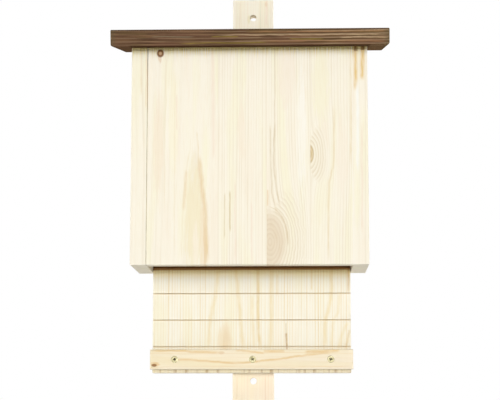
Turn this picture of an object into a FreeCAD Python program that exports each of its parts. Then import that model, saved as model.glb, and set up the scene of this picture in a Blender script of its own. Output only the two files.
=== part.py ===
import FreeCAD, Part
import math
import os

# Flat hanging bat box of glued spruce boards, in millimetres, +Z up.
# The origin is the centre of the upper hanging hole, on the plane of the wall (Y = 0).
# The front of the box faces -Y, so everything in front of the wall has a negative Y.

# Sheet stock of the sides, front and back
panel_thickness = 18.0

# Box, which hangs slightly to the left of the hanging holes
box_width = 270.0
box_depth = 105.0
box_offset = -1.4
side_back_height = 271.0

# Roof board
roof_slope_deg = 11.0
roof_thickness = 19.0
roof_side_overhang = 22.5
roof_front_overhang = 30.0

# Front board, set between the sides with a thin open joint on its left
front_joint_gap = 0.8

# Back board, set between the sides and hanging out below them
back_board_clearance = 0.5
back_board_drop = 118.5
kerf_pitch = 31.2
kerf_width = 1.7
kerf_depth = 4.0
kerf_top_margin = 25.0

# Landing batten near the lower edge of the back board
landing_width = 237.0
landing_height = 23.0
landing_thickness = 10.0
landing_setback = 4.0
kerf_above_landing = 3.4

# Hanging batten behind the box
batten_width = 49.0
batten_thickness = 15.0
batten_above_box = 64.0
batten_below_board = 31.5
hanging_hole_diameter = 8.0
hanging_hole_inset = 22.5

# Countersunk wood screws with a cross recess
screw_diameter = 4.5
screw_head_diameter = 8.6
screw_tip_length = 3.0
screw_head_sink = 0.2
screw_play = 0.05
screw_end_cover = 3.0
roof_screw_bite = 27.0
recess_span = 4.6
recess_slot = 1.1
recess_depth = 1.5
landing_screw_pitch = 91.0
roof_screw_inset = 16.0
batten_screw_end_inset = 38.0

# Brads that pin the sides to the edges of the front and back boards
brad_width = 1.3
brad_gauge = 1.1
brad_bite = 23.0
brad_head_sink = 1.0
brad_end_distance = 40.0
brads_per_joint = 4

# Eased edges
board_bevel = 0.6
roof_corner_radius = 3.0
roof_easing = 0.8
landing_easing = 1.2

# Places worked out from the sizes above
slope = math.radians(roof_slope_deg)
rise = math.tan(slope)
box_back = -batten_thickness
box_front = box_back - box_depth
half_width = box_width / 2
inner_half = half_width - panel_thickness
batten_top = hanging_hole_inset
box_bottom = batten_top - batten_above_box - side_back_height
back_board_front = box_back - panel_thickness
front_board_back = box_front + panel_thickness
board_bottom = box_bottom - back_board_drop
batten_bottom = board_bottom - batten_below_board
landing_bottom = board_bottom + landing_setback
landing_top = landing_bottom + landing_height
landing_front = back_board_front - landing_thickness


def underside(y):
    """Height of the roof's underside above a point y in front of the wall."""
    return box_bottom + side_back_height + (y - box_back) * rise


def point(x, y, z):
    return FreeCAD.Vector(x, y, z)


def filled(corners):
    """Flat face inside a closed outline of corner points."""
    return Part.Face(Part.makePolygon(corners + corners[:1]))


def block(x_low, x_high, y_low, y_high, z_low, z_high):
    """Square-cut length of timber between two corners."""
    size = (x_high - x_low, y_high - y_low, z_high - z_low)
    return Part.makeBox(*size, point(x_low, y_low, z_low))


def slanted_block(x_low, x_high, y_low, y_high, z_low):
    """Upright board whose top is cut to lie against the roof's underside."""
    section = filled([
        point(x_low, y_low, z_low),
        point(x_low, y_high, z_low),
        point(x_low, y_high, underside(y_high)),
        point(x_low, y_low, underside(y_low)),
    ])
    return section.extrude(point(x_high - x_low, 0, 0))


def edges_where(shape, wanted):
    """Edges whose middle point and direction pass the test."""
    chosen = []
    for edge in shape.Edges:
        middle = edge.valueAt((edge.FirstParameter + edge.LastParameter) / 2)
        direction = (edge.Vertexes[-1].Point - edge.Vertexes[0].Point).normalize()
        if wanted(middle, direction):
            chosen.append(edge)
    return chosen


def near(value, target):
    return abs(value - target) < 0.01


def revolved(outline):
    """Solid of revolution about Z from (radius, height) points."""
    face = filled([point(radius, 0, height) for radius, height in outline])
    return face.revolve(point(0, 0, 0), point(0, 0, 1), 360)


def screw(length):
    """Countersunk screw, its head's top at the origin and its tip below."""
    head_radius = screw_head_diameter / 2
    shank_radius = screw_diameter / 2
    body = revolved([
        (0, 0),
        (head_radius, 0),
        (shank_radius, shank_radius - head_radius),
        (shank_radius, screw_tip_length - length),
        (0, -length),
    ])
    half_span = recess_span / 2
    half_slot = recess_slot / 2
    for reach_x, reach_y in ((half_span, half_slot), (half_slot, half_span)):
        body = body.cut(block(-reach_x, reach_x, -reach_y, reach_y, -recess_depth, 1))
    return body


def screw_hole(length):
    """Countersink and pilot hole for a screw, open above the head."""
    head_radius = screw_head_diameter / 2
    hole_radius = screw_diameter / 2 + screw_play
    return revolved([
        (0, screw_head_sink + 1),
        (head_radius, screw_head_sink + 1),
        (head_radius, 0),
        (hole_radius, hole_radius - head_radius),
        (hole_radius, -length - screw_play),
        (0, -length - screw_play),
    ])


def seated(shape, head, direction, turn_deg):
    """Place a screw or its hole with the head at a point of the face it enters."""
    into = point(*direction).normalize()
    sunk = point(*head) + into * screw_head_sink
    turn = FreeCAD.Rotation(point(0, 0, 1), turn_deg)
    aim = FreeCAD.Rotation(point(0, 0, -1), into)
    placed = shape.copy()
    placed.Placement = FreeCAD.Placement(sunk, aim.multiply(turn))
    return placed


def landing_screw_seats():
    """Three screws through the landing batten into the back board."""
    height = (landing_bottom + landing_top) / 2
    length = landing_thickness + panel_thickness - screw_end_cover
    seats = []
    for step, turn in ((-1, 12), (0, 38), (1, 64)):
        head = (step * landing_screw_pitch, landing_front, height)
        seats.append((head, (0, 1, 0), length, turn))
    return seats


def roof_screw_seats(sign):
    """Two screws square to the roof, down into the top edge of one side."""
    x = box_offset + sign * (half_width - panel_thickness / 2)
    seats = []
    for y, turn in ((box_front + roof_screw_inset, 30), (box_back - roof_screw_inset, 75)):
        head_y = y - roof_thickness * math.sin(slope)
        head_z = underside(y) + roof_thickness * math.cos(slope)
        down = (0, math.sin(slope), -math.cos(slope))
        seats.append(((x, head_y, head_z), down, roof_thickness + roof_screw_bite, turn * sign))
    return seats


def batten_screw_seats():
    """Two screws from behind, through the hanging batten into the back board."""
    upper = underside(box_back) - batten_screw_end_inset
    lower = board_bottom + batten_screw_end_inset
    length = batten_thickness + panel_thickness - screw_end_cover
    return [((0, 0, height), (0, -1, 0), length, turn) for height, turn in ((upper, 20), (lower, 55))]


def brad_spots(sign, board_middle):
    """Spots on a side's outer face where brads go into the edge of a board."""
    low = box_bottom + brad_end_distance
    step = (underside(board_middle) - brad_end_distance - low) / (brads_per_joint - 1)
    x = box_offset + sign * half_width
    return [(x, board_middle, low + i * step) for i in range(brads_per_joint)]


def side_brad_spots(sign):
    front_middle = (box_front + front_board_back) / 2
    back_middle = (box_back + back_board_front) / 2
    return brad_spots(sign, front_middle) + brad_spots(sign, back_middle)


def wire_length(spot, start, end):
    """Rectangular brad wire lying across the box, between two depths from a spot's face."""
    x, y, z = spot
    inward = -1 if x > box_offset else 1
    ends = sorted((x + inward * start, x + inward * end))
    half_gauge = brad_gauge / 2
    half_wide = brad_width / 2
    return block(*ends, y - half_gauge, y + half_gauge, z - half_wide, z + half_wide)


def brads(spots):
    tip = panel_thickness + brad_bite
    return Part.makeCompound([wire_length(spot, brad_head_sink, tip) for spot in spots])


def pinned(board, spots):
    """Cut the slots that these brads make on their way in."""
    tip = panel_thickness + brad_bite
    for spot in spots:
        board = board.cut(wire_length(spot, -1, tip))
    return board


def drilled(board, seats):
    """Cut the countersinks and pilot holes of these screws out of a board."""
    for head, direction, length, turn in seats:
        board = board.cut(seated(screw_hole(length), head, direction, turn))
    return board


def screws(seats):
    """The screws of one row, as separate solids in one node."""
    return Part.makeCompound([
        seated(screw(length), head, direction, turn) for head, direction, length, turn in seats
    ])


def make_side_board(sign):
    outer = box_offset + sign * half_width
    inner = box_offset + sign * inner_half
    board = slanted_block(min(outer, inner), max(outer, inner), box_front, box_back, box_bottom)

    def outer_edge(middle, direction):
        return near(middle.x, outer) and (abs(direction.z) > 0.99 or near(middle.z, box_bottom))

    board = board.makeChamfer(board_bevel, edges_where(board, outer_edge))
    return drilled(pinned(board, side_brad_spots(sign)), roof_screw_seats(sign))


def make_front_board():
    left = box_offset - inner_half + front_joint_gap
    right = box_offset + inner_half
    board = slanted_block(left, right, box_front, front_board_back, box_bottom)

    def lower_edge(middle, direction):
        return near(middle.z, box_bottom) and abs(direction.x) > 0.99

    board = board.makeChamfer(board_bevel, edges_where(board, lower_edge))
    return pinned(board, side_brad_spots(-1) + side_brad_spots(1))


def kerf_heights():
    """Middle heights of the saw kerfs that give the bats a grip."""
    heights = []
    height = landing_top + kerf_above_landing
    while height < underside(back_board_front) - kerf_top_margin:
        heights.append(height)
        height += kerf_pitch
    return heights


def make_back_board():
    left = box_offset - inner_half + back_board_clearance
    right = box_offset + inner_half - back_board_clearance
    board = slanted_block(left, right, back_board_front, box_back, board_bottom)

    def outline(middle, direction):
        return abs(direction.z) > 0.99 or near(middle.z, board_bottom)

    board = board.makeChamfer(board_bevel, edges_where(board, outline))
    kerf_floor = back_board_front + kerf_depth
    for height in kerf_heights():
        low = height - kerf_width / 2
        high = height + kerf_width / 2
        board = board.cut(block(left - 1, right + 1, back_board_front - 1, kerf_floor, low, high))
    board = pinned(board, side_brad_spots(-1) + side_brad_spots(1))
    return drilled(board, landing_screw_seats() + batten_screw_seats())


def make_roof_board():
    """Sloping board, square-cut in front and cut upright where it meets the batten."""
    half = half_width + roof_side_overhang
    front = box_front - roof_front_overhang
    front_top = point(
        -half,
        front - roof_thickness * math.sin(slope),
        underside(front) + roof_thickness * math.cos(slope),
    )
    section = filled([
        point(-half, front, underside(front)),
        point(-half, box_back, underside(box_back)),
        point(-half, box_back, underside(box_back) + roof_thickness / math.cos(slope)),
        front_top,
    ])
    board = section.extrude(point(2 * half, 0, 0))

    def lower_end(middle, direction):
        on_underside = near(middle.z, underside(middle.y))
        return near(abs(middle.x), half) and on_underside and not near(middle.y, box_back)

    def front_or_top(middle, direction):
        on_front = middle.y < front + roof_corner_radius and abs(direction.x) > 0.99
        on_top = middle.z > underside(middle.y) + roof_thickness - 0.01
        return (on_front or on_top) and not near(middle.y, box_back)

    board = board.makeFillet(roof_corner_radius, edges_where(board, lower_end))
    board = board.makeChamfer(roof_easing, edges_where(board, front_or_top))
    return drilled(board, roof_screw_seats(-1) + roof_screw_seats(1))


def make_landing_batten():
    left = box_offset - landing_width / 2
    right = left + landing_width
    batten = block(left, right, landing_front, back_board_front, landing_bottom, landing_top)

    def front_outline(middle, direction):
        return near(middle.y, landing_front)

    batten = batten.makeFillet(landing_easing, edges_where(batten, front_outline))
    return drilled(batten, landing_screw_seats())


def make_hanging_batten():
    half = batten_width / 2
    batten = block(-half, half, box_back, 0, batten_bottom, batten_top)
    batten = batten.makeChamfer(board_bevel, batten.Edges)
    for height in (batten_top - hanging_hole_inset, batten_bottom + hanging_hole_inset):
        start = point(0, box_back - 1, height)
        depth = batten_thickness + 2
        hole = Part.makeCylinder(hanging_hole_diameter / 2, depth, start, point(0, 1, 0))
        batten = batten.cut(hole)
    return drilled(batten, batten_screw_seats())


def main():
    parts = {
        "back_board": make_back_board(),
        "front_board": make_front_board(),
        "side_board_left": make_side_board(-1),
        "side_board_right": make_side_board(1),
        "roof_board": make_roof_board(),
        "hanging_batten": make_hanging_batten(),
        "landing_batten": make_landing_batten(),
        "landing_screws": screws(landing_screw_seats()),
        "roof_screws": screws(roof_screw_seats(-1) + roof_screw_seats(1)),
        "batten_screws": screws(batten_screw_seats()),
        "side_brads_left": brads(side_brad_spots(-1)),
        "side_brads_right": brads(side_brad_spots(1)),
    }
    os.makedirs("parts", exist_ok=True)
    for name, shape in parts.items():
        shape.exportStep("parts/%s.step" % name)


main()
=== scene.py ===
import bpy
import math
import random
from collections import namedtuple
from mathutils import Matrix, Vector


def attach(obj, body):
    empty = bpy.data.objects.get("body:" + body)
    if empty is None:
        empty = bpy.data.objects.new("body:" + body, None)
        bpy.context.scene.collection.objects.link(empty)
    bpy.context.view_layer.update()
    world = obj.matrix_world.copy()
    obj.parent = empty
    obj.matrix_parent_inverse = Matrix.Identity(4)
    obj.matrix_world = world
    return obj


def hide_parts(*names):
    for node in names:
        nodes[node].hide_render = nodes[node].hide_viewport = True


# Looks of a hanging bat box: bare spruce boards, a stained roof board, zinc screws and steel brads.
# Objects are in metres in the part's own frame: X to the right, Z up, the front faces -Y.
# Grain, knots and stains are given in millimetres in that frame.

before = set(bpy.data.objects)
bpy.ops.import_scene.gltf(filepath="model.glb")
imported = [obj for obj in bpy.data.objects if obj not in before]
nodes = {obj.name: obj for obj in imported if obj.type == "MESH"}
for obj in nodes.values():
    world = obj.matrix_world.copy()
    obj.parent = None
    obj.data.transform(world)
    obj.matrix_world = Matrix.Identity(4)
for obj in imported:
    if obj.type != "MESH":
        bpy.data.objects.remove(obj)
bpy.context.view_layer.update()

mm = 0.001

# Camera that was fitted to the photograph's edges
camera_place = (0.05367, -1.84629, -0.48625)
camera_pitch_deg = 8.14
camera_turn_deg = 1.80
camera_lens_mm = 111.06

# Sizes of the part that the finishes and the added pieces follow, in millimetres
roof_slope = math.radians(11)
front_seams = (-37.0, 18.2, 67.9)
back_face = -33.0
lowest_kerf = -400.6
kerf_pitch = 31.2
kerf_width = 1.7
kerf_half_length = 119.0
kerf_depth = 4.0
hole_radius = 4.0
hanging_holes = (0.0, -440.0)
batten_face = -15.0
box_foot = -312.5
box_half_width = 135.0
board_foot = -431.0
roof_underside = -38.58
roof_thickness = 19.0

# Countersunk wood screw with a cross recess, and how deep its head sits, in millimetres
wood_screw = {
    "Head Radius": 4.3, "Shank Radius": 2.2, "Core Radius": 1.6, "Tip": 3.0, "Pitch": 2.2,
    "Plain Length": 8.0, "Recess Span": 5.0, "Recess Slot": 1.4, "Recess Depth": 1.5,
}
head_sink = 0.2

# A row of screws: the node they replace, the way they are driven, their length, heads and turns
Screws = namedtuple("Screws", "node direction length heads turns_deg")

# A stave's place in its trunk: the pith behind its face and how it drifts down the board, then the
# rings: their width, phase, unevenness, wander, seed and contrast
Stave = namedtuple("Stave", "pith_x pith_y drift lean ring_width phase uneven wander seed contrast")
# A branch seen end on: its place, core and stretch, how far the grain bends, the seams it lies
# between, and the width, strength, rim, reach and colours of its own rings
Knot = namedtuple("Knot", "across along core stretch bend low high ring strength rim reach dark pale")
# A coloured line of the grain along points of (across, along), from the top or right end
Line = namedtuple("Line", "path width colour strength")
# A soft patch of another tone
Stain = namedtuple("Stain", "across along half_across half_along colour strength")


class Graph:
    """Shorthand for one node tree: each method adds a node and returns the socket it gives."""

    def __init__(self, tree):
        self.tree = tree

    def node(self, kind, settings=None, **inputs):
        new = self.tree.nodes.new(kind)
        for name, value in (settings or {}).items():
            setattr(new, name, value)
        for name, value in inputs.items():
            self.feed(new.inputs[name.replace("_", " ")], value)
        return new

    def first(self, kind, settings=None, **inputs):
        return self.node(kind, settings, **inputs).outputs[0]

    def feed(self, socket, value):
        if isinstance(value, bpy.types.NodeSocket):
            self.tree.links.new(value, socket)
        else:
            socket.default_value = value

    def math(self, operation, *values):
        new = self.node("ShaderNodeMath", {"operation": operation})
        for socket, value in zip(new.inputs, values):
            self.feed(socket, value)
        return new.outputs[0]

    def add(self, first, second):
        return self.math("ADD", first, second)

    def less(self, first, second):
        return self.math("SUBTRACT", first, second)

    def times(self, *values):
        total = values[0]
        for value in values[1:]:
            total = self.math("MULTIPLY", total, value)
        return total

    def over(self, first, second):
        return self.math("DIVIDE", first, second)

    def size(self, value):
        return self.math("ABSOLUTE", value)

    def vector(self, operation, *values):
        new = self.node("ShaderNodeVectorMath", {"operation": operation})
        for socket, value in zip(new.inputs, values):
            self.feed(socket, value)
        return new.outputs[0]

    def split(self, vector):
        return self.node("ShaderNodeSeparateXYZ", Vector=vector).outputs

    def join(self, x, y, z):
        return self.first("ShaderNodeCombineXYZ", X=x, Y=y, Z=z)

    def here(self):
        """Place on the object, in millimetres."""
        place = self.node("ShaderNodeTexCoord").outputs["Object"]
        return self.vector("MULTIPLY", place, (1 / mm, 1 / mm, 1 / mm))

    def ramp(self, value, low, high, out_low=0.0, out_high=1.0, kind="SMOOTHSTEP"):
        """Value carried from out_low at low to out_high at high, and held there."""
        new = self.node("ShaderNodeMapRange", {"interpolation_type": kind})
        for socket, part in zip(new.inputs, (value, low, high, out_low, out_high)):
            self.feed(socket, part)
        return new.outputs[0]

    def noise(self, vector, scale=1.0, detail=2.0, roughness=0.5):
        return self.first("ShaderNodeTexNoise", Vector=vector, Scale=scale, Detail=detail,
                          Roughness=roughness)

    def stretched_noise(self, vector, stretch, detail=2.0, roughness=0.5):
        return self.noise(self.vector("MULTIPLY", vector, stretch), 1.0, detail, roughness)

    def mix(self, factor, first, second, blend="MIX"):
        new = self.node("ShaderNodeMix", {"data_type": "RGBA", "blend_type": blend})
        self.feed(new.inputs[0], factor)
        self.feed(new.inputs[6], first)
        self.feed(new.inputs[7], second)
        return new.outputs[2]

    def follow(self, along, path):
        """Place across the board of a smooth line through points of (across, along)."""
        first, last = path[0], path[-1]
        if len(path) == 2:
            return self.ramp(along, last[1], first[1], last[0], first[0], kind="LINEAR")
        least = min(across for across, _ in path)
        span = max(across for across, _ in path) - least
        share = self.ramp(along, last[1], first[1], kind="LINEAR")
        bend = self.node("ShaderNodeFloatCurve", Value=share)
        points = bend.mapping.curves[0].points
        while len(points) < len(path):
            points.new(0.5, 0.5)
        for point, (across, height) in zip(points, reversed(path)):
            point.location = ((height - last[1]) / (first[1] - last[1]), (across - least) / span)
        bend.mapping.update()
        return self.math("MULTIPLY_ADD", bend.outputs[0], span, least)


def rgb(red, green, blue):
    """Linear colour of an 8-bit screen colour."""
    def linear(level):
        level /= 255
        return level / 12.92 if level <= 0.04045 else ((level + 0.055) / 1.055) ** 2.4
    return (linear(red), linear(green), linear(blue), 1.0)


def new_group(name, inputs, outputs):
    """Empty shader group. An input whose value is None is a vector, as is an output named Vector."""
    tree = bpy.data.node_groups.new(name, "ShaderNodeTree")
    for title, usual in inputs.items():
        kind = "NodeSocketVector" if usual is None else "NodeSocketFloat"
        socket = tree.interface.new_socket(title, in_out="INPUT", socket_type=kind)
        if usual is not None:
            socket.default_value = usual
    for title in outputs:
        kind = "NodeSocketVector" if title == "Vector" else "NodeSocketFloat"
        tree.interface.new_socket(title, in_out="OUTPUT", socket_type=kind)
    graph = Graph(tree)
    return graph, tree.nodes.new("NodeGroupInput").outputs, tree.nodes.new("NodeGroupOutput").inputs


def tree_rings():
    """Growth rings round the pith of the trunk that a stave was sawn from, with the grain along Z."""
    g, ins, outs = new_group("tree_rings", {
        "Vector": None, "Pith X": 0.0, "Pith Y": -60.0, "Drift": 0.0, "Lean": 0.0, "Ring Width": 3.3,
        "Phase": 0.0, "Uneven": 1.0, "Wander": 3.0, "Seed": 0.0, "Contrast": 1.0,
    }, ("Latewood", "Warmth", "Fibre"))
    shift = g.times(ins["Seed"], 37.0)
    shifted = g.vector("ADD", ins["Vector"], g.join(shift, shift, shift))
    slow = g.node("ShaderNodeTexNoise", Scale=1.0, Detail=2.0, Roughness=0.5,
                  Vector=g.vector("MULTIPLY", shifted, (0.024, 0.024, 0.0045)))
    swing = g.vector("SUBTRACT", slow.outputs["Color"], (0.5, 0.5, 0.5))
    swing = g.split(g.vector("MULTIPLY", swing, g.join(ins["Wander"], ins["Wander"], 0.0)))
    x, y, z = g.split(ins["Vector"])
    across = g.less(g.add(x, swing[0]), g.math("MULTIPLY_ADD", z, ins["Drift"], ins["Pith X"]))
    deep = g.less(g.add(y, swing[1]), g.math("MULTIPLY_ADD", z, ins["Lean"], ins["Pith Y"]))
    radius = g.math("SQRT", g.add(g.times(across, across), g.times(deep, deep)))
    count = g.add(g.over(radius, ins["Ring Width"]), ins["Phase"])
    uneven = g.noise(g.join(g.times(count, 0.45), ins["Seed"], 0.0), 1.0, 1.0)
    count = g.math("MULTIPLY_ADD", g.less(uneven, 0.5), ins["Uneven"], count)
    season = g.math("FRACT", count)
    late = g.times(g.ramp(season, 0.50, 0.90), g.ramp(season, 1.0, 0.95))
    year = g.first("ShaderNodeTexWhiteNoise", {"noise_dimensions": "2D"},
                   Vector=g.join(g.math("FLOOR", count), ins["Seed"], 0.0))
    fade = g.stretched_noise(shifted, (0.07, 0.07, 0.010), 1.0)
    strength = g.times(g.ramp(year, 0.0, 1.0, 0.30, 1.0), g.ramp(fade, 0.25, 0.75, 0.35, 1.0))
    g.feed(outs["Latewood"], g.times(late, strength, ins["Contrast"]))
    g.feed(outs["Warmth"], g.stretched_noise(shifted, (0.055, 0.055, 0.006), 2.0))
    g.feed(outs["Fibre"], g.stretched_noise(shifted, (1.4, 1.4, 0.05), 2.0, 0.6))
    return g.tree


def knot_bend():
    """A branch that crosses the board: the grain parts round it, and it has rings of its own."""
    g, ins, outs = new_group("knot_bend", {
        "Vector": None, "Across": 0.0, "Along": 0.0, "Core": 4.0, "Stretch": 1.5, "Bend": 10.0,
        "Low": -200.0, "High": 200.0, "Ring Width": 1.0, "Reach": 2.6,
    }, ("Vector", "Inside", "Rim", "Ring", "Halo"))
    x, y, z = g.split(ins["Vector"])
    dx = g.less(x, ins["Across"])
    dz = g.over(g.less(z, ins["Along"]), ins["Stretch"])
    square = g.add(g.times(dx, dx), g.times(dz, dz))
    within = g.times(g.math("GREATER_THAN", x, ins["Low"]), g.math("LESS_THAN", x, ins["High"]))
    cube = g.math("POWER", square, 1.5)
    bend = g.times(ins["Bend"], ins["Bend"], ins["Bend"], within)
    kept = g.over(cube, g.add(cube, g.add(bend, 0.0001)))
    g.feed(outs["Vector"], g.join(g.math("MULTIPLY_ADD", dx, kept, ins["Across"]), y, z))
    ragged = g.stretched_noise(ins["Vector"], (0.07, 0.07, 0.05))
    reach = g.times(g.math("SQRT", square), g.ramp(ragged, 0.0, 1.0, 0.93, 1.07))
    ratio = g.over(reach, ins["Core"])
    g.feed(outs["Inside"], g.times(g.ramp(ratio, 1.05, 0.85), within))
    g.feed(outs["Rim"], g.times(g.ramp(ratio, 1.4, 1.05), g.ramp(ratio, 0.7, 1.0), within))
    turn = g.math("FRACT", g.over(reach, ins["Ring Width"]))
    g.feed(outs["Ring"], g.times(g.ramp(turn, 0.2, 0.8), g.ramp(turn, 1.0, 0.9)))
    beside = g.over(g.size(dx), g.add(g.math("SQRT", square), 0.001))
    widening = g.ramp(beside, 0.0, 0.75, 0.16, 1.0)
    spread = g.math("MULTIPLY_ADD", g.less(ins["Reach"], 1.0), widening, 1.0)
    g.feed(outs["Halo"], g.times(g.ramp(ratio, spread, g.times(spread, 0.6)), within))
    return g.tree


def grain_line():
    """A line that wobbles a little, thins out at both ends and breaks along the grain."""
    g, ins, outs = new_group("grain_line", {
        "Across": 0.0, "Along": 0.0, "Line": 0.0, "Top": 0.0, "Foot": -100.0, "Width": 1.0,
    }, ("Mark",))
    wave = g.noise(g.join(ins["Line"], g.times(ins["Along"], 0.035), ins["Top"]), 1.0, 2.0)
    wobble = 2.2
    away = g.less(ins["Across"], ins["Line"])
    away = g.size(g.math("MULTIPLY_ADD", g.less(wave, 0.5), wobble, away))
    share = g.over(g.less(ins["Top"], ins["Along"]), g.less(ins["Top"], ins["Foot"]))
    ends = g.times(g.ramp(share, -0.02, 0.10), g.ramp(share, 1.02, 0.88))
    broken = g.noise(g.join(g.times(ins["Across"], 0.6), g.times(ins["Along"], 0.08), 0.0), 1.0, 2.0)
    g.feed(outs["Mark"], g.times(g.ramp(away, ins["Width"], 0.0), ends,
                                 g.ramp(broken, 0.25, 0.6, 0.5, 1.0)))
    return g.tree


def soft_stain():
    """A patch of another tone that is drawn out along the grain."""
    g, ins, outs = new_group("soft_stain", {
        "Across": 0.0, "Along": 0.0, "Centre Across": 0.0, "Centre Along": 0.0,
        "Half Across": 5.0, "Half Along": 20.0,
    }, ("Mark",))
    u = g.over(g.less(ins["Across"], ins["Centre Across"]), ins["Half Across"])
    v = g.over(g.less(ins["Along"], ins["Centre Along"]), ins["Half Along"])
    away = g.math("SQRT", g.add(g.times(u, u), g.times(v, v)))
    torn = g.noise(g.join(g.times(ins["Across"], 0.5), g.times(ins["Along"], 0.05), 3.0), 1.0, 3.0)
    away = g.add(away, g.ramp(torn, 0.2, 0.8, -0.35, 0.35, kind="LINEAR"))
    g.feed(outs["Mark"], g.ramp(away, 1.0, 0.45))
    return g.tree


def sawn_edge():
    """How near a point is to an arris of a board that fills the box from Low to High."""
    g, ins, outs = new_group("sawn_edge", {
        "Vector": None, "Low": None, "High": None, "Width": 1.0,
    }, ("Edge",))
    inset = g.vector("MINIMUM", g.vector("SUBTRACT", ins["Vector"], ins["Low"]),
                     g.vector("SUBTRACT", ins["High"], ins["Vector"]))
    a, b, c = g.split(inset)
    middle = g.math("MAXIMUM", g.math("MINIMUM", a, b), g.math("MINIMUM", g.math("MAXIMUM", a, b), c))
    rough = g.stretched_noise(ins["Vector"], (0.16, 0.16, 0.16), 3.0)
    worn = g.times(ins["Width"], g.ramp(rough, 0.2, 0.8, 0.3, 1.7))
    g.feed(outs["Edge"], g.ramp(middle, worn, 0.0))
    return g.tree


groups = {make.__name__: make() for make in (tree_rings, knot_bend, grain_line, soft_stain, sawn_edge)}


def placed(g, name, **inputs):
    """One use of a shader group, with its own values."""
    new = g.tree.nodes.new("ShaderNodeGroup")
    new.node_tree = groups[name]
    for title, value in inputs.items():
        g.feed(new.inputs[title.replace("_", " ")], value)
    return new.outputs


def stepped(g, value, edges, levels):
    """Level that changes at each edge, as from stave to stave."""
    total = levels[0]
    for edge, before, after in zip(edges, levels, levels[1:]):
        total = g.math("MULTIPLY_ADD", g.math("GREATER_THAN", value, edge), after - before, total)
    return total


def new_material(name):
    material = bpy.data.materials.new(name)
    material.use_nodes = True
    return material, Graph(material.node_tree), material.node_tree.nodes["Principled BSDF"]


def rings_of(g, vector, across, seams, staves):
    """Growth rings of a board that is glued up from staves."""
    levels = {field.title(): stepped(g, across, seams, [getattr(stave, field) for stave in staves])
              for field in Stave._fields}
    return placed(g, "tree_rings", Vector=vector, **levels)


def with_lines(g, colour, across, along, lines):
    for line in lines:
        place = g.follow(along, line.path)
        mark = placed(g, "grain_line", Across=across, Along=along, Line=place, Top=line.path[0][1],
                      Foot=line.path[-1][1], Width=line.width)["Mark"]
        colour = g.mix(g.times(mark, line.strength), colour, line.colour)
    return colour


def with_stains(g, colour, across, along, stains):
    for stain in stains:
        mark = placed(g, "soft_stain", Across=across, Along=along, Centre_Across=stain.across,
                      Centre_Along=stain.along, Half_Across=stain.half_across,
                      Half_Along=stain.half_along)["Mark"]
        colour = g.mix(g.times(mark, stain.strength), colour, stain.colour)
    return colour


def box_in_mm(node, slope=0.0):
    """Lowest and highest corner of a node, in a frame that leans with the roof where slope is given."""
    level = Matrix.Rotation(-slope, 3, "X")
    corners = [level @ vertex.co / mm for vertex in nodes[node].data.vertices]
    low = Vector([min(corner[axis] for corner in corners) for axis in range(3)])
    high = Vector([max(corner[axis] for corner in corners) for axis in range(3)])
    return low, high


# Colours of bare spruce
early_wood = rgb(250, 243, 223)
early_yellow = rgb(249, 243, 216)
early_pink = rgb(249, 240, 219)
late_wood = rgb(236, 225, 198)
resin = rgb(233, 208, 162)
olive = rgb(220, 204, 160)
pink_line = rgb(243, 226, 202)
tan_line = rgb(236, 221, 184)
brown_line = rgb(222, 206, 172)
knot_brown = rgb(120, 84, 52)
knot_gold = rgb(206, 182, 134)
# Paler arrises: partly wear, partly painted highlight
edge_wear_and_highlight = rgb(253, 248, 235)
glue_line = rgb(232, 219, 190)
# Brown of the band under the roof: partly glaze, partly painted shade
glaze_and_shade_brown = rgb(112, 82, 54)


def fibre_relief(g, shader, fibre, height, strength, depth):
    """Roughness and fine relief that follow the fibres."""
    g.feed(shader.inputs["Roughness"], g.ramp(fibre, 0.2, 0.8, 0.62, 0.8))
    bump = g.first("ShaderNodeBump", Height=height, Strength=strength, Distance=depth * mm)
    g.feed(shader.inputs["Normal"], bump)


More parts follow.
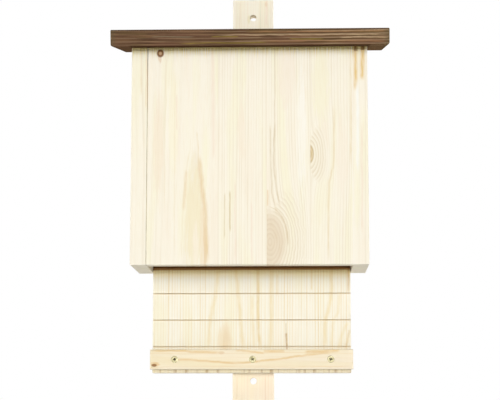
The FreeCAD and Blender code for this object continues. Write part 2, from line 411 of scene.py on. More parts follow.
def spruce(name, node, staves, turn="upright", seams=(), knots=(), lines=(), stains=(),
           base=(early_wood, early_yellow, early_pink, late_wood), tone=rgb(245, 246, 251), extra=None):
    """Bare spruce board, with each stave's place in its trunk, its knots, lines and stains."""
    material, g, shader = new_material(name)
    here = g.here()
    x, y, z = g.split(here)
    across, along = (z, x) if turn == "lying" else (x, z)
    grain = {"upright": here, "lying": g.join(z, y, x), "side": g.join(y, x, z)}[turn]
    drawn_knots = []
    for knot in knots:
        parts = placed(g, "knot_bend", Vector=grain, Across=knot.across, Along=knot.along,
                       Core=knot.core, Stretch=knot.stretch, Bend=knot.bend, Low=knot.low,
                       High=knot.high, Ring_Width=knot.ring, Reach=knot.reach)
        grain = parts["Vector"]
        drawn_knots.append((parts, knot))
    rings = rings_of(g, grain, across, seams, staves)
    early, yellow, pink, late = base
    colour = g.mix(g.ramp(rings["Warmth"], 0.48, 0.68), early, yellow)
    colour = g.mix(g.ramp(rings["Warmth"], 0.48, 0.30), colour, pink)
    latewood = rings["Latewood"]
    for parts, _ in drawn_knots:
        latewood = g.mix(parts["Halo"], latewood, g.times(parts["Ring"], 0.95))
    colour = g.mix(latewood, colour, late)
    colour = with_stains(g, colour, across, along, stains)
    for parts, knot in drawn_knots:
        colour = g.mix(g.times(parts["Halo"], 0.12 * knot.strength), colour, tan_line)
    colour = with_lines(g, colour, across, along, lines)
    for parts, knot in drawn_knots:
        core = g.mix(parts["Ring"], knot.pale, knot.dark)
        colour = g.mix(g.times(parts["Inside"], knot.strength), colour, core)
        colour = g.mix(g.times(parts["Rim"], knot.rim), colour, knot.dark)
    seam_reach = 0.45
    for seam in seams:
        gap = g.ramp(g.size(g.less(across, seam)), seam_reach, 0.1)
        colour = g.mix(g.times(gap, 0.5), colour, glue_line)
    if extra:
        colour = extra(g, colour, x, y, z)
    # Paler arrises: partly wear, partly a painted highlight along the edges
    low, high = box_in_mm(node)
    edge = placed(g, "sawn_edge", Vector=here, Low=low, High=high, Width=1.0)["Edge"]
    colour = g.mix(g.times(edge, 0.4), colour, edge_wear_and_highlight)
    fibre = rings["Fibre"]
    colour = g.mix(g.ramp(fibre, 0.45, 0.75, 0.0, 0.16), colour, rgb(238, 222, 190), "MULTIPLY")
    # Overall tone of the board; the batten's white tone is painted light
    g.feed(shader.inputs["Base Color"], g.mix(1.0, colour, tone, "MULTIPLY"))
    fibre_relief(g, shader, fibre, g.add(g.times(latewood, 0.5), g.times(fibre, 0.6)), 0.25, 0.2)
    shader.inputs["Specular IOR Level"].default_value = 0.25
    return material


def wear(node, material):
    """Gives a CAD board its finish."""
    slots = nodes[node].data.materials
    slots.clear()
    slots.append(material)


def batten_foot_painted_shade(g, colour, x, y, z):
    """Batten a shade darker and warmer towards its lower end: painted shade that takes the painted
    light of its paler base back off below the box.
    """
    return g.mix(g.ramp(z, -60.0, -400.0), colour, rgb(240, 233, 227), "MULTIPLY")


def glaze_and_shade_under_roof(g, colour, x, y, z):
    """Under the roof: a warm painted shade a few millimetres down the boards, and a thin brown band
    that is partly glaze crept from the roof into the end grain and partly painted shade.
    """
    below = g.less(g.math("MULTIPLY_ADD", y, math.tan(roof_slope), roof_underside), z)
    ragged_reach = g.noise(g.join(g.times(x, 0.8), g.times(y, 0.8), 0.0), 1.0, 2.0)
    least, most = 0.8, 6.5
    depth = g.ramp(ragged_reach, 0.35, 0.75, least, most)
    # Warm painted shade under the roof
    colour = g.mix(g.ramp(below, g.times(depth, 3.4), 0.0), colour, rgb(255, 241, 176), "MULTIPLY")
    # Thin brown band at the top: partly glaze, partly painted shade
    return g.mix(g.ramp(below, depth, 0.2, 0.0, 0.42), colour, glaze_and_shade_brown)


def kerfs_and_painted_shade(g, colour, x, y, z):
    """Front of the back board: kerfs with tan faces and a pale torn lip, painted shade up inside the
    box, and a painted shadow of the landing batten along the board's foot.
    """
    turn = g.math("FRACT", g.add(g.over(g.less(z, lowest_kerf), kerf_pitch), 0.5))
    offset = g.times(g.less(turn, 0.5), kerf_pitch)
    front = g.math("LESS_THAN", y, back_face + kerf_depth + 0.5)
    sawn = g.times(g.math("GREATER_THAN", y, back_face + 0.4), g.ramp(g.size(offset), 1.3, 1.0))
    colour = g.mix(g.times(front, sawn, 0.5), colour, rgb(232, 210, 168))
    # Warm painted shade on the board up inside the box
    shade = g.times(front, g.ramp(z, box_foot - 10.5, box_foot + 3.5))
    colour = g.mix(shade, colour, rgb(255, 240, 194), "MULTIPLY")
    # Dark brown painted shade just above the box's foot, inside the box
    dark = g.times(front, g.ramp(z, box_foot + 1.5, box_foot + 3.1), 0.9)
    colour = g.mix(dark, colour, rgb(148, 92, 34))
    lip = g.times(g.ramp(offset, -0.8, -1.0), g.ramp(offset, -2.6, -1.3))
    lip = g.times(front, lip, g.ramp(z, box_foot + 1.5, box_foot - 7.5))
    torn = g.noise(g.join(g.times(x, 0.5), z, 0.0), 1.0, 2.0)
    colour = g.mix(g.times(lip, g.ramp(torn, 0.3, 0.7), 0.6), colour, rgb(255, 249, 232))
    # Painted shadow of the landing batten along the board's lowest strip, with patchy darker spots in
    # it
    foot_shadow = g.times(front, g.ramp(z, board_foot + 3.4, board_foot + 4.4, 0.65, 0.0))
    colour = g.mix(foot_shadow, colour, rgb(218, 204, 166))
    foot_spots = g.noise(g.join(g.times(x, 0.16), 4.0, 0.0), 1.0, 3.0)
    return g.mix(g.times(foot_shadow, g.ramp(foot_spots, 0.5, 0.66)), colour, rgb(166, 132, 82))


def front_board_finish():
    staves = (
        Stave(-63.5, -67.8, 0, 0.013, 4, 0.5, 0, 0.8, 1.3, 0.45),
        Stave(-230, -60, 0.002, 0, 3.1, 0, 1.6, 2, 4.7, 1),
        Stave(250, -50, -0.003, 0, 2.9, 0.3, 1.4, 2, 8.2, 1.1),
        Stave(230, -90, 0.012, 0, 3.2, 0.1, 1.6, 2.5, 11.9, 0.9),
    )
    knots = (
        Knot(-103.6, -68.6, 3.3, 1.15, 7, -119, -37, 3.3, 1, 0.85, 1.9, rgb(126, 84, 50),
             rgb(216, 184, 146)),
        Knot(22, -287, 16.5, 1.85, 24, 18.2, 67.9, 2.9, 0.9, 0.3, 2.75, rgb(229, 212, 183),
             rgb(233, 218, 190)),
        Knot(66.6, -187, 5.2, 2.1, 15, 67.9, 115.6, 2.8, 0.95, 0, 4.6, knot_gold, rgb(226, 205, 163)),
    )
    lines = (
        Line(((-58.8, -188), (-55, -224), (-51.5, -248), (-50.3, -273), (-49.5, -312)), 4.4,
             resin, 0.75),
        Line(((-60.8, -160), (-58.6, -200)), 1.6, tan_line, 0.6),
        Line(((-72.6, -204), (-74.3, -226), (-75.6, -252)), 3.2, resin, 0.5),
        Line(((-68, -178), (-72.7, -204), (-77, -262), (-77.7, -312)), 1.6, tan_line, 0.35),
        Line(((-29.5, -230), (-29.4, -284)), 1.4, olive, 0.6),
        Line(((-23.6, -228), (-23.4, -276)), 1.7, olive, 0.9),
        Line(((-84.6, -116), (-84.1, -160)), 1.5, pink_line, 0.6),
        Line(((-86.5, -90), (-86, -310)), 1.2, tan_line, 0.4),
        Line(((-97, -60), (-97.8, -250)), 1.2, tan_line, 0.4),
        Line(((-43.6, -60), (-41.8, -196)), 3.6, pink_line, 0.6),
        Line(((28, -60), (27.5, -175)), 1.3, brown_line, 0.55),
        Line(((27.6, -150), (26.7, -199), (28, -216.5), (30.3, -232.5), (34, -247)), 1.6,
             brown_line, 0.85),
        Line(((18, -245.5), (24, -248), (30, -252), (36, -260), (40.5, -272), (42, -292)),
             2, rgb(217, 198, 158), 0.7),
        Line(((22.6, -150), (23.2, -207), (23.9, -225.6), (25.4, -237), (30.5, -249)), 1.5,
             brown_line, 0.7),
        Line(((94.5, -130), (94.6, -175), (94, -196), (90.3, -214), (88.6, -233), (87.8, -312)), 2,
             tan_line, 0.8),
        Line(((115.1, -60), (114, -200)), 2.2, tan_line, 0.8),
        Line(((-17.6, -215), (-16.9, -312)), 1.6, pink_line, 0.7),
        Line(((1.1, -240), (1.7, -312)), 1.6, pink_line, 0.7),
        Line(((19.6, -227), (19.6, -247)), 1.6, resin, 0.7),
    )
    stains = (
        Stain(-104.8, -175, 8.5, 75, rgb(246, 233, 208), 0.8),
        Stain(-88, -150, 7, 80, rgb(250, 243, 214), 0.7),
        Stain(-63.5, -262, 13.5, 82, rgb(244, 233, 198), 0.85),
        Stain(-62, -292, 4.5, 34, rgb(250, 240, 218), 0.7),
        Stain(-54.5, -285, 4, 70, rgb(243, 224, 190), 0.5),
        Stain(-50.8, -294, 3, 34, rgb(232, 204, 156), 0.6),
        Stain(-104, -74.5, 2.6, 6.5, rgb(232, 212, 182), 0.8),
        Stain(-10, -163, 6, 44, rgb(247, 235, 211), 0.7),
        Stain(41, -95, 14, 48, rgb(248, 237, 216), 0.8),
        Stain(58, -160, 7, 90, rgb(253, 249, 236), 0.6),
        Stain(80, -105, 13, 60, rgb(248, 242, 212), 0.8),
        Stain(104, -190, 8, 60, rgb(248, 237, 216), 0.6),
    )
    return spruce("front_spruce", "front_board", staves, seams=front_seams, knots=knots, lines=lines,
                  stains=stains, extra=glaze_and_shade_under_roof)


def back_board_finish():
    warm = rgb(243, 226, 180)
    dark = rgb(236, 214, 160)
    lines = (
        Line(((-40.8, -306), (-43.4, -336), (-48.4, -360), (-50.5, -371.5), (-52, -404)), 4, warm, 0.7),
        Line(((-20.2, -306), (-17.5, -336), (-15.1, -360), (-13.9, -377), (-11, -404)), 4.2, warm, 0.8),
        Line(((6.1, -306), (6.1, -338), (6.1, -360), (6.8, -382), (9, -404)), 3.2, dark, 0.85),
        Line(((-1.2, -338), (-0.5, -360), (1.2, -404)), 3.4, warm, 0.6),
        Line(((21.5, -306), (21.4, -367), (20.5, -404)), 4, warm, 0.75),
        Line(((28.5, -314), (28.5, -341)), 1.6, warm, 0.7),
        Line(((69.6, -308), (69.5, -335)), 1.8, warm, 0.8),
        Line(((91.6, -306), (92, -336.5), (89, -357), (85.3, -372), (84, -404)), 4, warm, 0.85),
        Line(((112.4, -300), (112.6, -338)), 2.6, rgb(224, 194, 138), 0.8),
        Line(((102.5, -335), (100, -359), (94.1, -373), (92, -404)), 3.2, warm, 0.5),
        Line(((111.8, -372), (105.7, -383.5), (100.5, -404)), 3.4, warm, 0.65),
        Line(((113.6, -380), (108.5, -404)), 2.6, rgb(226, 200, 144), 0.55),
        Line(((39, -372), (39.4, -394)), 1.3, rgb(216, 198, 152), 0.6),
        Line(((39.3, -384), (39.8, -407)), 2.1, rgb(196, 158, 98), 0.8),
    )
    stains = (
        Stain(-32.5, -393, 11, 26, rgb(245, 230, 197), 0.9),
        Stain(-32, -394, 5, 20, rgb(240, 220, 182), 0.7),
    )
    staves = (Stave(-330, -60, 0.002, 0, 3.3, 0, 1.4, 2, 7, 1.15),)
    base = (rgb(251, 246, 227), rgb(250, 244, 217), rgb(251, 244, 223), rgb(241, 224, 182))
    return spruce("back_spruce", "back_board", staves, lines=lines, stains=stains, base=base,
                  extra=kerfs_and_painted_shade)


def landing_finish():
    gold = rgb(233, 199, 138)
    lines = (
        Line(((-405, 96.5), (-408.7, 85), (-410.1, 67), (-412.3, 50), (-415.1, 32.5),
              (-416.4, 16.8), (-418.7, -0.7), (-419.4, -20), (-418.6, -40), (-417.2, -59),
              (-415.7, -80), (-416.3, -103)), 2.2, gold, 0.8),
        Line(((-407.5, -38), (-407, -66), (-405.8, -81), (-405.8, -119)), 2.4, gold, 0.8),
        Line(((-408.3, 14), (-406.9, -0.7), (-405.2, -21)), 2, gold, 0.8),
        Line(((-406, 38), (-406.5, 12)), 2.8, gold, 0.8),
        Line(((-405.2, 102), (-407, 60)), 3, gold, 0.85),
        Line(((-422, 118), (-424.5, 40), (-424, -60)), 1.2, gold, 0.35),
    )
    knots = (
        Knot(-422.4, -114.9, 1.5, 1.8, 5, -430, -400, 1.1, 0.9, 0.5, 3.2, rgb(118, 74, 38),
             rgb(176, 126, 72)),
    )
    stains = (
        Stain(-408, -36, 2.5, 5, rgb(226, 190, 134), 0.45),
        Stain(-421.5, -113.5, 3.4, 6.5, rgb(238, 205, 150), 0.9),
        Stain(-421, 60, 4, 70, rgb(246, 232, 196), 0.6),
    )
    staves = (Stave(-560, -120, 0, 0, 4.6, 0, 1, 7, 9, 0.6),)
    base = (rgb(249, 236, 206), rgb(247, 233, 197), rgb(250, 237, 211), rgb(236, 210, 160))
    return spruce("landing_spruce", "landing_batten", staves, turn="lying", lines=lines, stains=stains,
                  knots=knots, base=base)


def side_finish(side, lines, seed, knots):
    sign = -1 if side == "left" else 1
    staves = (Stave(-230, sign * 60, 0.004, 0, 3.2, 0, 1.5, 2.5, seed, 0.7),)
    return spruce(side + "_side_spruce", "side_board_" + side, staves, turn="side", lines=lines,
                  knots=knots, extra=glaze_and_shade_under_roof)


def finish_boards():
    wear("front_board", front_board_finish())
    wear("back_board", back_board_finish())
    wear("landing_batten", landing_finish())
    left_lines = (
        Line(((-125.4, -58), (-124.9, -118)), 1.6, tan_line, 0.6),
        Line(((-119.6, -52), (-119.5, -136)), 1.5, resin, 0.55),
    )
    right_lines = (
        Line(((120.5, -48), (119.6, -114)), 3.6, rgb(232, 199, 128), 0.95),
        Line(((128.2, -48), (127.6, -102)), 4, rgb(232, 200, 130), 0.95),
        Line(((120.5, -57), (120.4, -68)), 3.4, rgb(104, 52, 20), 0.85),
        Line(((128.3, -57), (128.2, -67)), 3.8, rgb(96, 46, 18), 0.85),
        Line(((126.6, -150), (126.2, -280)), 2.4, pink_line, 0.6),
        Line(((122, -100), (121.6, -210)), 3.2, rgb(251, 249, 238), 0.9),
    )
    left_knots = (
        Knot(-78, -205, 6, 1.4, 14, -200, 200, 2.2, 0.8, 0.4, 3, rgb(196, 160, 112),
             rgb(222, 196, 152)),
        Knot(-36, -96, 3, 1.2, 7, -200, 200, 1.6, 0.9, 0.6, 2.6, knot_brown, rgb(176, 138, 98)),
    )
    right_knots = (
        Knot(-50, -246, 5, 1.5, 12, -200, 200, 2.1, 0.8, 0.4, 3, rgb(190, 152, 104),
             rgb(220, 194, 150)),
    )
    wear("side_board_left", side_finish("left", left_lines, 2.0, left_knots))
    wear("side_board_right", side_finish("right", right_lines, 5.0, right_knots))
    wear("hanging_batten", batten_finish())


def batten_finish():
    staves = (Stave(160, -60, 0, 0, 3.4, 0, 1.6, 2, 12, 0.7),)
    # Paler base here and a white tone below than on the other boards: painted light that brightens the
    # batten above the roof
    base = (rgb(255, 249, 231), rgb(255, 248, 225), rgb(255, 246, 229), rgb(249, 233, 209))
    lines = (
        Line(((-16, 24), (-16.5, -40)), 1.1, pink_line, 0.7),
        Line(((16.2, 24), (16.6, -10)), 1.6, rgb(248, 220, 202), 0.5),
        Line(((-20, 24), (-20, -40)), 1, tan_line, 0.4),
        Line(((9, 24), (9, -20)), 1, rgb(236, 232, 208), 0.6),
        Line(((14, -434), (14.5, -463)), 1.2, pink_line, 0.6),
        Line(((-19.5, -434), (-19.5, -463)), 1.2, tan_line, 0.5),
    )
    stains = (
        Stain(-5.4, -1.5, 2.4, 7, rgb(240, 230, 184), 0.5),
        Stain(16, 17, 2, 4, rgb(238, 218, 170), 0.5),
    )
    return spruce("batten_spruce", "hanging_batten", staves, lines=lines, stains=stains, base=base,
                  tone=rgb(255, 255, 255), extra=batten_foot_painted_shade)


def roof_finish():
    """Brown glaze on a sawn board: dark in the softer wood, paler on the hard lines."""
    material, g, shader = new_material("stained_roof")
    turned = g.first("ShaderNodeMapping", {"vector_type": "TEXTURE"}, Vector=g.here(),
                     Rotation=(roof_slope, 0.0, 0.0))
    x, y, z = g.split(turned)
    along = g.join(z, y, x)
    low, high = box_in_mm("roof_board", roof_slope)
    height_up = g.less(z, low.z)
    staves = (Stave(250, -240, 0, 0, 3.6, 0.2, 0.8, 5, 21, 1),)
    rings = rings_of(g, along, x, (), staves)
    rightward = g.ramp(x, -60.0, 120.0)
    pale = g.mix(rightward, rgb(134, 107, 84), rgb(190, 164, 130))
    dark = g.mix(rightward, rgb(91, 68, 51), rgb(90, 69, 49))
    colour = g.mix(rings["Latewood"], dark, pale)
    streaks = g.stretched_noise(turned, (0.022, 0.9, 0.9), 3.0, 0.6)
    colour = g.mix(g.ramp(streaks, 0.50, 0.66, 0.0, 0.5), colour, rgb(140, 108, 78))
    colour = g.mix(g.ramp(streaks, 0.48, 0.32, 0.0, 0.6), colour, rgb(62, 44, 32))
    cloud = g.stretched_noise(turned, (0.02, 0.12, 0.12), 2.0)
    colour = g.mix(g.ramp(cloud, 0.52, 0.68, 0.0, 0.5), colour, rgb(112, 81, 64))
    colour = g.mix(g.ramp(cloud, 0.46, 0.32, 0.0, 0.5), colour, rgb(96, 80, 50))
    pale_line = rgb(188, 162, 128)
    yellow_line = rgb(146, 128, 62)
    orange_line = rgb(166, 122, 84)
    lines = (
        Line(((15.1, 158), (15.5, 90), (15.3, -5)), 1.2, orange_line, 0.6),
        Line(((11.8, 158), (12, 80), (12.3, -38)), 1.2, pale_line, 0.75),
        Line(((8.3, 158), (8.6, 100)), 1.2, pale_line, 0.7),
        Line(((7.2, 84), (7, 44)), 1.1, yellow_line, 0.6),
        Line(((4.4, 157), (5, 100), (5.2, 10)), 1.2, orange_line, 0.55),
        Line(((3.6, 20), (3.4, -35), (3.2, -80)), 1.1, yellow_line, 0.65),
        Line(((10.4, -12), (10.6, -44)), 1.2, yellow_line, 0.6),
        Line(((10.8, -62), (10.6, -112)), 1.1, rgb(130, 120, 98), 0.6),
    )
    front = g.ramp(y, low.y + 4.0, low.y + 2.0)
    lined = with_lines(g, colour, height_up, x, lines)
    colour = g.mix(front, colour, lined)
    off_centre = g.size(g.less(x, (low.x + high.x) / 2))
    half_length = (high.x - low.x) / 2
    end = g.ramp(off_centre, half_length - 9.0, half_length)
    colour = g.mix(g.times(end, 0.45), colour, rgb(92, 84, 60))
    edge = placed(g, "sawn_edge", Vector=turned, Low=low, High=high, Width=1.4)["Edge"]
    colour = g.mix(g.times(edge, g.ramp(height_up, 6.0, 12.0), 0.35), colour, rgb(108, 86, 66))
    # Painted shade along the roof's lower edge and underside over the box, where it meets the boards
    # below
    shade_over_box = g.ramp(off_centre, box_half_width + 3.0, box_half_width - 1.0)
    colour = g.mix(g.times(shade_over_box, g.ramp(height_up, 1.3, 0.3, 0.0, 0.72)), colour, rgb(56, 37, 22))
    upper_arris = g.ramp(height_up, roof_thickness - 1.1, roof_thickness - 0.2, 0.0, 0.55)
    colour = g.mix(upper_arris, colour, rgb(66, 52, 46))
    g.feed(shader.inputs["Base Color"], colour)
    height = g.add(g.times(rings["Latewood"], 0.8), g.add(g.times(rings["Fibre"], 0.6), streaks))
    fibre_relief(g, shader, rings["Fibre"], height, 0.5, 0.3)
    shader.inputs["Specular IOR Level"].default_value = 0.0
    return material


def metal_finish(name, bright, dull, painted_metal_shade, roughness):
    """Bare or plated steel with a cloudy surface, dark with painted shade in the driver's cross and
    round the head's rim.
    """
    material, g, shader = new_material(name)
    cloud = g.noise(g.here(), 0.9, 3.0)
    shade_mask = g.node("ShaderNodeAttribute", {"attribute_name": "painted_metal_shade"}).outputs["Fac"]
    plate = g.mix(g.ramp(cloud, 0.3, 0.7), bright, dull)
    g.feed(shader.inputs["Base Color"], g.mix(shade_mask, plate, painted_metal_shade))
    rough = g.ramp(cloud, 0.3, 0.7, roughness, roughness + 0.15)
    g.feed(shader.inputs["Roughness"], g.math("MULTIPLY_ADD", shade_mask, 0.4, rough))
    g.feed(shader.inputs["Metallic"], g.ramp(shade_mask, 0.0, 1.0, 1.0, 0.0))
    return material


def new_shape_tree(name, inputs):
    """Empty geometry node tree that takes a geometry, named lengths and a material."""
    tree = bpy.data.node_groups.new(name, "GeometryNodeTree")
    kinds = {"Geometry": "NodeSocketGeometry", **{title: "NodeSocketFloat" for title in inputs},
             "Seat": "NodeSocketVector", "Finish": "NodeSocketMaterial"}
    for title, kind in kinds.items():
        tree.interface.new_socket(title, in_out="INPUT", socket_type=kind)
    tree.interface.new_socket("Geometry", in_out="OUTPUT", socket_type="NodeSocketGeometry")
    graph = Graph(tree)
    return graph, tree.nodes.new("NodeGroupInput").outputs, tree.nodes.new("NodeGroupOutput").inputs


def smooth_rounds(g, mesh):
    """Smooth shading that keeps the edges sharper than 35 degrees."""
    smooth = g.first("GeometryNodeSetShadeSmooth", {"domain": "FACE"}, Geometry=mesh)
    bent = g.node("GeometryNodeInputMeshEdgeAngle").outputs["Unsigned Angle"]
    sharp = g.math("GREATER_THAN", bent, math.radians(35))
    return g.first("GeometryNodeSetShadeSmooth", {"domain": "EDGE"}, Geometry=smooth,
                   Selection=sharp, Shade_Smooth=False)


def set_real(g, ins, outs, turn, **instances):
    """Ends a tree with instances, each turned on the seat, as one real mesh in its finish."""
    seat = g.first("FunctionNodeEulerToRotation", Euler=ins["Seat"])
    aim = g.first("FunctionNodeRotateRotation", {"rotation_space": "LOCAL"}, Rotation=seat,
                  Rotate_By=turn)
    spread = g.first("GeometryNodeInstanceOnPoints", Rotation=aim, **instances)
    real = g.first("GeometryNodeRealizeInstances", Geometry=spread)
    g.feed(outs[0], g.first("GeometryNodeSetMaterial", Geometry=real, Material=ins["Finish"]))
    return g.tree


def screw_tree():
    """Turns each point of a mesh into a countersunk wood screw with a thread and a cross recess."""
    g, ins, outs = new_shape_tree("wood_screw", ("Length", *wood_screw))
    rounds, sides = 130, 28
    bevel_width, least_radius, crest_slope = 0.35 * mm, 0.05 * mm, 3.2
    length = ins["Length"]
    end = g.join(0.0, 0.0, g.times(length, -1.0))
    axis = g.first("GeometryNodeCurvePrimitiveLine", End=end)
    axis = g.first("GeometryNodeResampleCurve", {"mode": "COUNT"}, Curve=axis, Count=rounds)
    profile = g.first("GeometryNodeCurvePrimitiveCircle", Resolution=sides, Radius=1.0)
    depth = g.node("GeometryNodeSplineParameter").outputs["Length"]
    cone = g.less(ins["Head Radius"], depth)
    below = g.math("GREATER_THAN", depth, ins["Plain Length"])
    waist = g.less(ins["Core Radius"], ins["Shank Radius"])
    stem = g.math("MULTIPLY_ADD", below, waist, ins["Shank Radius"])
    point = g.over(g.times(g.less(length, depth), ins["Core Radius"]), ins["Tip"])
    bevel = g.add(g.less(ins["Head Radius"], bevel_width), g.times(depth, 1.4))
    radius = g.math("MINIMUM", bevel, g.math("MAXIMUM", cone, g.math("MINIMUM", stem, point)))
    radius = g.math("MAXIMUM", radius, least_radius)
    body = g.first("GeometryNodeCurveToMesh", Curve=axis, Profile_Curve=profile, Scale=radius,
                   Fill_Caps=True)
    x, y, z = g.split(g.first("GeometryNodeInputPosition"))
    around = g.over(g.math("ARCTAN2", y, x), 2 * math.pi)
    turn = g.math("FRACT", g.add(g.over(z, ins["Pitch"]), around))
    crest = g.less(1.0, g.times(g.size(g.less(turn, 0.5)), crest_slope))
    crest = g.math("MAXIMUM", crest, 0.0)
    flank = g.less(ins["Shank Radius"], ins["Core Radius"])
    plain_end = g.times(ins["Plain Length"], -1.0)
    threaded = g.times(g.ramp(z, plain_end, g.less(plain_end, ins["Pitch"]), kind="LINEAR"),
                       g.ramp(g.add(z, length), 0.0, ins["Tip"], kind="LINEAR"))
    out = g.math("SQRT", g.add(g.times(x, x), g.times(y, y)))
    grown = g.add(1.0, g.over(g.times(crest, flank, threaded), g.math("MAXIMUM", out, 0.1 * mm)))
    body = g.first("GeometryNodeSetPosition", Geometry=body,
                   Position=g.join(g.times(x, grown), g.times(y, grown), z))
    tall = g.times(ins["Recess Depth"], 2.0)
    narrow = g.ramp(z, g.times(ins["Recess Depth"], -1.0), 0.0, 0.55, 1.0, kind="LINEAR")
    for name, other in (("Span", "Slot"), ("Slot", "Span")):
        size = g.join(ins["Recess " + name], ins["Recess " + other], tall)
        arm = g.first("GeometryNodeSetPosition", Geometry=g.first("GeometryNodeMeshCube", Size=size),
                      Position=g.join(g.times(x, narrow), g.times(y, narrow), z))
        cut = g.node("GeometryNodeMeshBoolean", {"operation": "DIFFERENCE", "solver": "EXACT"})
        g.feed(cut.inputs["Mesh 1"], body)
        g.feed(cut.inputs["Mesh 2"], arm)
        body = cut.outputs[0]
    # Painted shade in the cross recess, and a lighter painted shade round the head's rim where it meets
    # the wood
    recess = g.times(g.math("LESS_THAN", out, g.times(ins["Recess Span"], 0.55)),
                     g.math("LESS_THAN", z, -0.02 * mm),
                     g.math("GREATER_THAN", z, g.times(ins["Recess Depth"], -1.2)))
    rim = g.times(g.math("GREATER_THAN", out, g.less(ins["Head Radius"], 0.3 * mm)),
                  g.math("GREATER_THAN", z, -0.6 * mm))
    body = g.first("GeometryNodeStoreNamedAttribute", {"data_type": "FLOAT", "domain": "FACE"},
                   Geometry=smooth_rounds(g, body), Name="painted_metal_shade",
                   Value=g.math("MAXIMUM", recess, g.times(rim, 0.6)))
    driven = g.first("GeometryNodeInputNamedAttribute", {"data_type": "FLOAT"}, Name="turn")
    turned = g.first("FunctionNodeAxisAngleToRotation", Axis=(0.0, 0.0, 1.0), Angle=driven)
    return set_real(g, ins, outs, turned, Points=ins["Geometry"], Instance=body)


def sliver_tree():
    """Sets short torn fibres at random along the edges of a mesh."""
    g, ins, outs = new_shape_tree("slivers", ("Spacing", "Length", "Thickness", "Seed"))
    lines = g.first("GeometryNodeMeshToCurve", Mesh=ins["Geometry"])
    spots = g.first("GeometryNodeCurveToPoints", {"mode": "LENGTH"}, Curve=lines, Length=ins["Spacing"])
    seed = g.first("FunctionNodeFloatToInt", Float=ins["Seed"])
    lot = g.node("FunctionNodeRandomValue", {"data_type": "FLOAT"}, Seed=seed).outputs[1]
    fibre = g.first("GeometryNodeMeshCone", Vertices=5, Radius_Top=0.0, Radius_Bottom=ins["Thickness"],
                    Depth=ins["Length"])
    spin = g.first("FunctionNodeRandomValue", {"data_type": "FLOAT_VECTOR"}, Seed=seed,
                   Min=(-1.1, -0.5, -0.5), Max=(-0.1, 0.5, 0.5))
    tilt = g.first("FunctionNodeEulerToRotation", Euler=spin)
    left_out = 0.45
    chosen = g.math("GREATER_THAN", lot, left_out)
    scale = g.ramp(lot, left_out, 1.0, 0.4, 1.0, kind="LINEAR")
    return set_real(g, ins, outs, tilt, Points=spots, Instance=fibre, Selection=chosen,
                    Scale=g.join(scale, scale, scale))


def in_scene(name, data):
    """New object that is linked to the scene."""
    thing = bpy.data.objects.new(name, data)
    bpy.context.scene.collection.objects.link(thing)
    return thing


def grown_piece(name, tree, values, mesh):
    """Piece whose plain mesh a geometry node tree makes once from the given mesh."""
    piece = in_scene(name, mesh)
    grower = piece.modifiers.new(name, "NODES")
    grower.node_group = tree
    for socket in tree.interface.items_tree:
        if socket.in_out == "INPUT" and socket.name in values:
            grower[socket.identifier] = values[socket.name]
    graph = bpy.context.evaluated_depsgraph_get()
    grown = bpy.data.meshes.new_from_object(piece.evaluated_get(graph), preserve_all_data_layers=True,
                                            depsgraph=graph)
    piece.modifiers.clear()
    piece.data = grown
    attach(piece, "root")
    return piece


def screw_rows():
    slope_in = (0.0, math.sin(roof_slope), -math.cos(roof_slope))
    roof_heads = ((-107.625, -40.149), (-34.625, -25.959))
    return (
        Screws("landing_screws", (0.0, 1.0, 0.0), 25.0,
               [(x, -43.0, -415.5) for x in (-91.0, 0.0, 91.0)], (12.0, 38.0, 64.0)),
        Screws("batten_screws", (0.0, -1.0, 0.0), 30.0,
               [(0.0, 0.0, z) for z in (-79.5, -393.0)], (20.0, 55.0)),
        Screws("roof_screws", slope_in, 46.0,
               [(x, y, z) for x in (-127.4, 124.6) for y, z in roof_heads], (-30.0, -75.0, 30.0, 75.0)),
    )


def drive_screws(finish):
    tree = screw_tree()
    sizes = {name: size * mm for name, size in wood_screw.items()}
    for row in screw_rows():
        into = Vector(row.direction)
        points = bpy.data.meshes.new(row.node + "_heads")
        points.from_pydata([(Vector(head) + into * head_sink) * mm for head in row.heads], [], [])
        turns = points.attributes.new("turn", "FLOAT", "POINT")
        for spot, turn in zip(turns.data, row.turns_deg):
            spot.value = math.radians(turn)
        seat = Vector((0.0, 0.0, -1.0)).rotation_difference(into).to_euler()
        inputs = {**sizes, "Length": row.length * mm, "Seat": tuple(seat), "Finish": finish}
        piece = grown_piece(row.node + "_threaded", tree, inputs, points)
        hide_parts(row.node)


def edge_mesh(name, rows):
    """Mesh of open lines through rows of points in millimetres."""
    mesh = bpy.data.meshes.new(name)
    spots, edges = [], []
    for row in rows:
        first = len(spots)
        spots.extend(Vector(spot) * mm for spot in row)
        edges.extend((first + i, first + i + 1) for i in range(len(row) - 1))
    mesh.from_pydata(spots, edges, [])
    return mesh


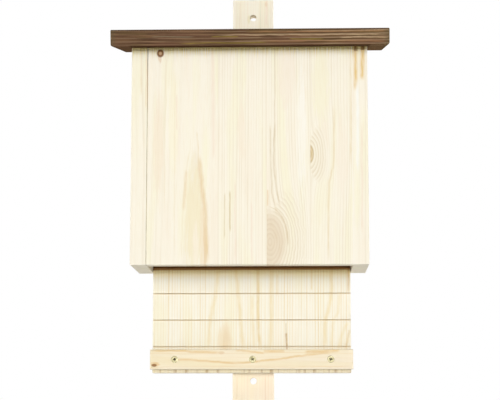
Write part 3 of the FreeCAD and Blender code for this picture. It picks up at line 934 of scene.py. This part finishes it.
def fill_joint():
    """Strip of dried glue a little below the face, in the open joint on the front's left."""
    low, high = box_in_mm("front_board")
    levels, corners = 63, 5
    clear, foot_gap, top_gap, sunk, belly, thickness = 0.06, 1.0, 4.0, 1.0, 0.3, 2.0
    hollow_depth, hollow_height = 5.0, 24.0
    length = high.z - low.z - (foot_gap + top_gap)
    left_side = box_in_mm("side_board_left")[1].x + clear
    right_side = low.x - clear
    middle = (left_side + right_side) / 2
    luck = random.Random(3)
    spots, faces = [], []
    for count in range(levels):
        z = low.z + foot_gap + length * count / (levels - 1)
        hollow = hollow_depth * max(0.0, 1.0 - (high.z - z) / hollow_height)
        face = low.y + sunk + hollow + luck.uniform(-0.25, 0.35)
        back = face + thickness
        spots += [(left_side, face, z), (middle, face + belly, z), (right_side, face, z),
                  (right_side, back, z), (left_side, back, z)]
    for first in range(0, corners * (levels - 1), corners):
        for corner in range(corners):
            start, after = first + corner, first + (corner + 1) % corners
            faces.append((start, after, after + corners, start + corners))
    faces.append(tuple(reversed(range(corners))))
    faces.append(tuple(corners * (levels - 1) + corner for corner in range(corners)))
    mesh = bpy.data.meshes.new("joint_glue")
    mesh.from_pydata([Vector(spot) * mm for spot in spots], [], faces)
    material, g, shader = new_material("dried_glue")
    z = g.split(g.here())[2]
    cloud = g.noise(g.join(0.0, 0.0, g.times(z, 0.05)), 1.0, 3.0)
    upper = g.mix(g.ramp(z, -62.0, -100.0), rgb(96, 66, 36), rgb(190, 152, 102))
    lower = g.mix(g.ramp(cloud, 0.35, 0.65), rgb(188, 178, 146), rgb(222, 212, 184))
    g.feed(shader.inputs["Base Color"], g.mix(g.ramp(z, -100.0, -150.0), upper, lower))
    shader.inputs["Roughness"].default_value = 0.5
    mesh.materials.append(material)
    piece = in_scene("joint_glue", mesh)
    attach(piece, "root")


def tear_fibres():
    """Torn fibres along the lower lips of the kerfs and round the mouths of the hanging holes."""
    rooted = 0.05
    shown_kerfs = 3
    lips = [[(x, back_face + rooted, lowest_kerf + count * kerf_pitch - kerf_width / 2)
             for x in (-kerf_half_length, kerf_half_length - 3.0)] for count in range(shown_kerfs)]
    steps = [math.radians(15 * step) for step in range(25)]
    rims = [[(hole_radius * math.cos(step), batten_face + rooted, level + hole_radius * math.sin(step))
             for step in steps] for level in hanging_holes]
    tree = sliver_tree()
    for name, mesh, node, slot, spacing, length, thickness, seed in (
        ("kerf_slivers", edge_mesh("kerf_lips", lips), "back_board", "spruce_back",
         2.6, 0.9, 0.13, 7.0),
        ("hole_slivers", edge_mesh("hole_rims", rims), "hanging_batten", "spruce_batten",
         0.9, 0.7, 0.12, 11.0),
    ):
        grown_piece(name, tree, {
            "Spacing": spacing * mm, "Length": length * mm, "Thickness": thickness * mm, "Seed": seed,
            "Seat": (0.0, 0.0, 0.0), "Finish": nodes[node].data.materials[0],
        }, mesh)


def seen_as(g, lit, shown, share=1.0):
    """Shader that lights as the first and looks to the camera, gloss and glass like the second."""
    path = g.node("ShaderNodeLightPath").outputs
    seen = g.math("MAXIMUM", path["Is Camera Ray"],
                  g.math("MAXIMUM", path["Is Glossy Ray"], path["Is Transmission Ray"]))
    either = g.node("ShaderNodeMixShader", Fac=g.times(seen, share))
    g.feed(either.inputs[1], lit.outputs[0])
    g.feed(either.inputs[2], shown.outputs[0])
    return either.outputs[0]


def place_camera():
    data = bpy.data.cameras.new("camera")
    data.sensor_width = 36.0
    data.lens = camera_lens_mm
    data.clip_start = 0.01
    camera = in_scene("camera", data)
    camera.location = camera_place
    camera.rotation_euler = (math.radians(90 + camera_pitch_deg), 0.0, math.radians(camera_turn_deg))
    bpy.context.scene.camera = camera


def lamp(name, place, target, width, height, power):
    data = bpy.data.lights.new(name, "AREA")
    data.shape = "RECTANGLE"
    data.size = width
    data.size_y = height
    data.energy = power
    lamp_object = in_scene(name, data)
    lamp_object.location = place
    aim = Vector(target) - Vector(place)
    lamp_object.rotation_euler = aim.to_track_quat("-Z", "Y").to_euler()


def light_scene():
    middle = (0.0, -0.12, -0.22)
    ahead, beside = -3.6, 2.6
    for name, place, width, height, power in (
        ("low_softbox", (0.0, ahead, -0.27), 1.2, 0.22, 41.5),
        ("front_softbox", (0.0, ahead, 0.04), 1.2, 0.34, 29.0),
        ("high_softbox", (0.0, ahead, 0.46), 1.2, 0.5, 19.0),
        ("left_softbox", (-beside, 0.7, 0.0), 1.2, 1.2, 32.0),
        ("right_softbox", (beside, 0.7, 0.0), 1.2, 1.2, 32.0),
        ("rear_softbox", (0.6, 2.4, 0.5), 1.4, 1.4, 27.0),
        ("top_softbox", (0.0, 0.3, 2.4), 1.2, 1.2, 17.0),
    ):
        lamp(name, place, middle, width, height, power)
    world = bpy.data.worlds.new("studio")
    world.use_nodes = True
    g = Graph(world.node_tree)
    fill = world.node_tree.nodes["Background"]
    fill.inputs["Color"].default_value = (1.0, 0.92, 0.74, 1.0)
    fill.inputs["Strength"].default_value = 0.15
    white = g.node("ShaderNodeBackground", Color=(1.0, 1.0, 1.0, 1.0), Strength=1.0)
    g.feed(world.node_tree.nodes["World Output"].inputs["Surface"], seen_as(g, fill, white))
    bpy.context.scene.world = world


def lay_floor():
    mesh = bpy.data.meshes.new("floor")
    half, level = 6.0, -0.75
    mesh.from_pydata([(-half, -half, level), (half, -half, level), (half, half, level),
                      (-half, half, level)], [], [(0, 1, 2, 3)])
    floor = in_scene("floor", mesh)
    material, g, shader = new_material("pale_floor")
    shader.inputs["Base Color"].default_value = (0.8, 0.8, 0.79, 1.0)
    shader.inputs["Roughness"].default_value = 0.9
    glow = g.node("ShaderNodeEmission", Color=(1.0, 1.0, 0.99, 1.0), Strength=1.0)
    g.feed(material.node_tree.nodes["Material Output"].inputs["Surface"], seen_as(g, shader, glow, 0.7))
    mesh.materials.append(material)


finish_boards()
wear("roof_board", roof_finish())
# The third colour of each metal is its painted shade in recesses and round screw heads
zinc = metal_finish("zinc_screw", rgb(172, 166, 136), rgb(146, 139, 106), rgb(66, 56, 30), 0.5)
steel = metal_finish("brad_steel", rgb(190, 190, 188), rgb(140, 138, 134), rgb(90, 86, 80), 0.35)
drive_screws(zinc)
fill_joint()
tear_fibres()
for brad_node in ("side_brads_left", "side_brads_right"):
    wear(brad_node, steel)
place_camera()
light_scene()
lay_floor()
bpy.context.scene.view_settings.view_transform = "Standard"
